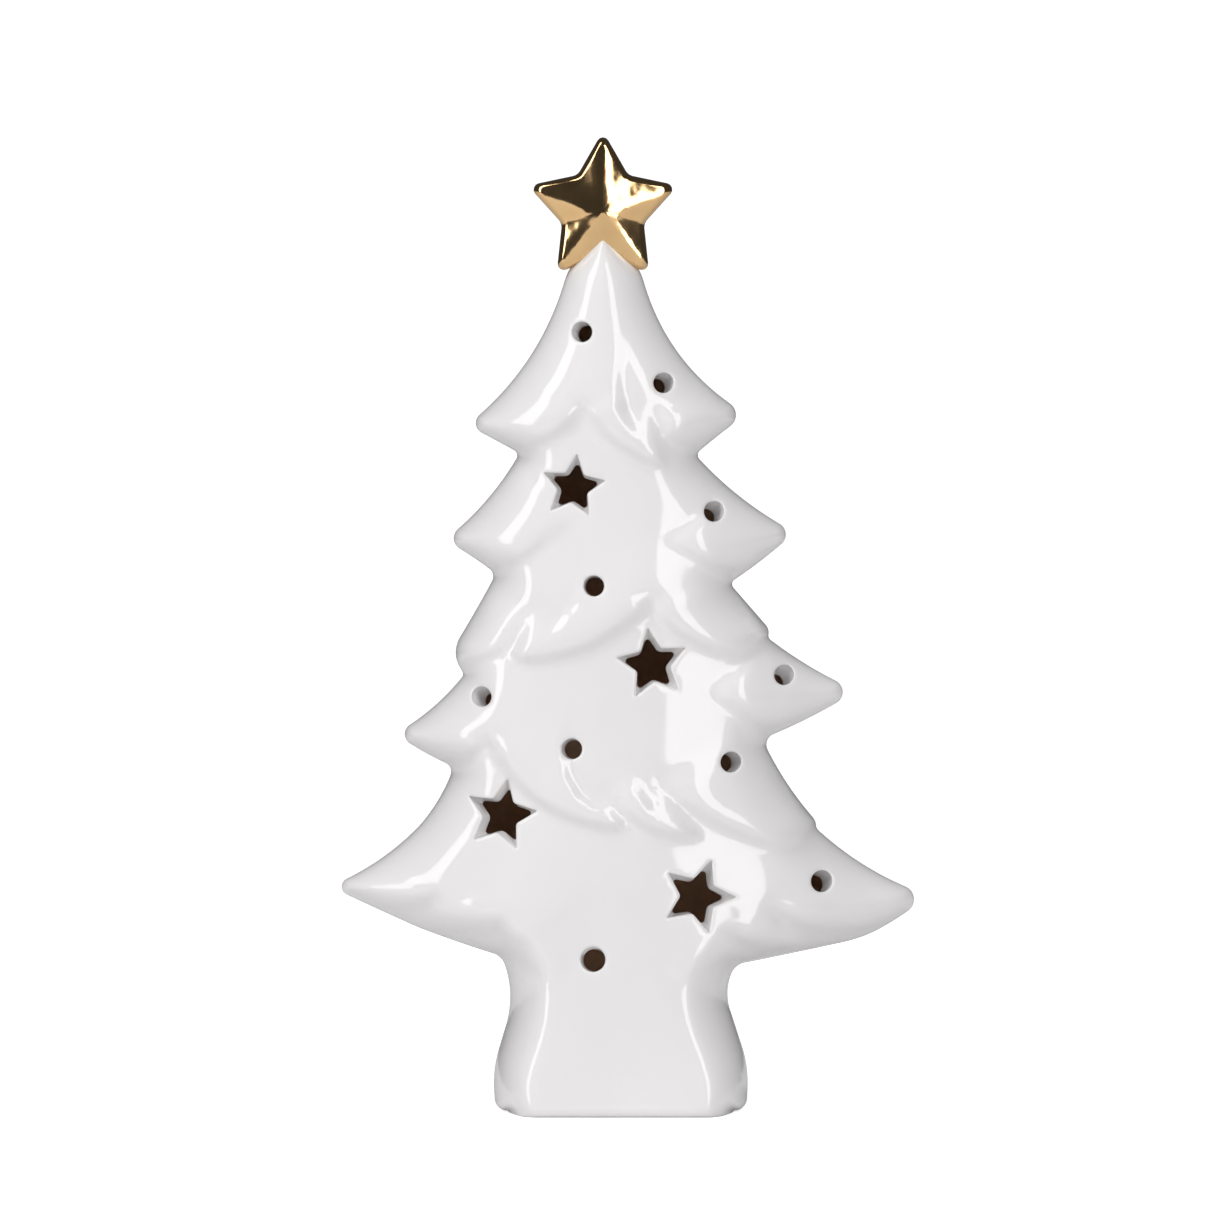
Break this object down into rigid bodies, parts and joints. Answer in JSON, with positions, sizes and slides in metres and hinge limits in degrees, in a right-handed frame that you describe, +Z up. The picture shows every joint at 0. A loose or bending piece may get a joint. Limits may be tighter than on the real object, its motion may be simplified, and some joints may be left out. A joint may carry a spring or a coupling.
{
  "type": "tealight holder",
  "caption": "Hollow white glazed fir-tree tealight holder with star and round light holes, a gold star on its tip and a rear opening for a tealight.",
  "frame": {"origin": "centre of the bounding box's bottom face, on the table under the trunk", "axes": "+Z up, -Y out of the decorated front, +X to the right seen from the front"},
  "size_m": [0.1407, 0.0614, 0.2396],
  "materials": {
    "white_glaze": "glossy white glaze outside, unglazed brown body inside",
    "gold_lustre": "polished gold lustre over glaze",
    "aluminium_foil": "thin pressed sheet, fluted wall and rolled rim",
    "white_wax": null,
    "cotton_wick": "braided waxed cotton",
    "tinned_steel": "thin tinned sheet"
  },
  "bodies": {
    "tree": {"tree_body": "white_glaze", "star_topper": "gold_lustre"},
    "tealight": {"tealight_cup": "aluminium_foil"},
    "candle": {"tealight_wax": "white_wax", "wick": "cotton_wick", "wick_tab": "tinned_steel"}
  },
  "joints": [
    {"name": "tealight_slide", "type": "slide", "parent": "tree", "child": "tealight", "axis": [0, 1, 0], "range_m": [0, 0.09]},
    {"name": "candle_lift", "type": "slide", "parent": "tealight", "child": "candle", "axis": [0, 0, 1], "range_m": [0, 0.02]}
  ]
}
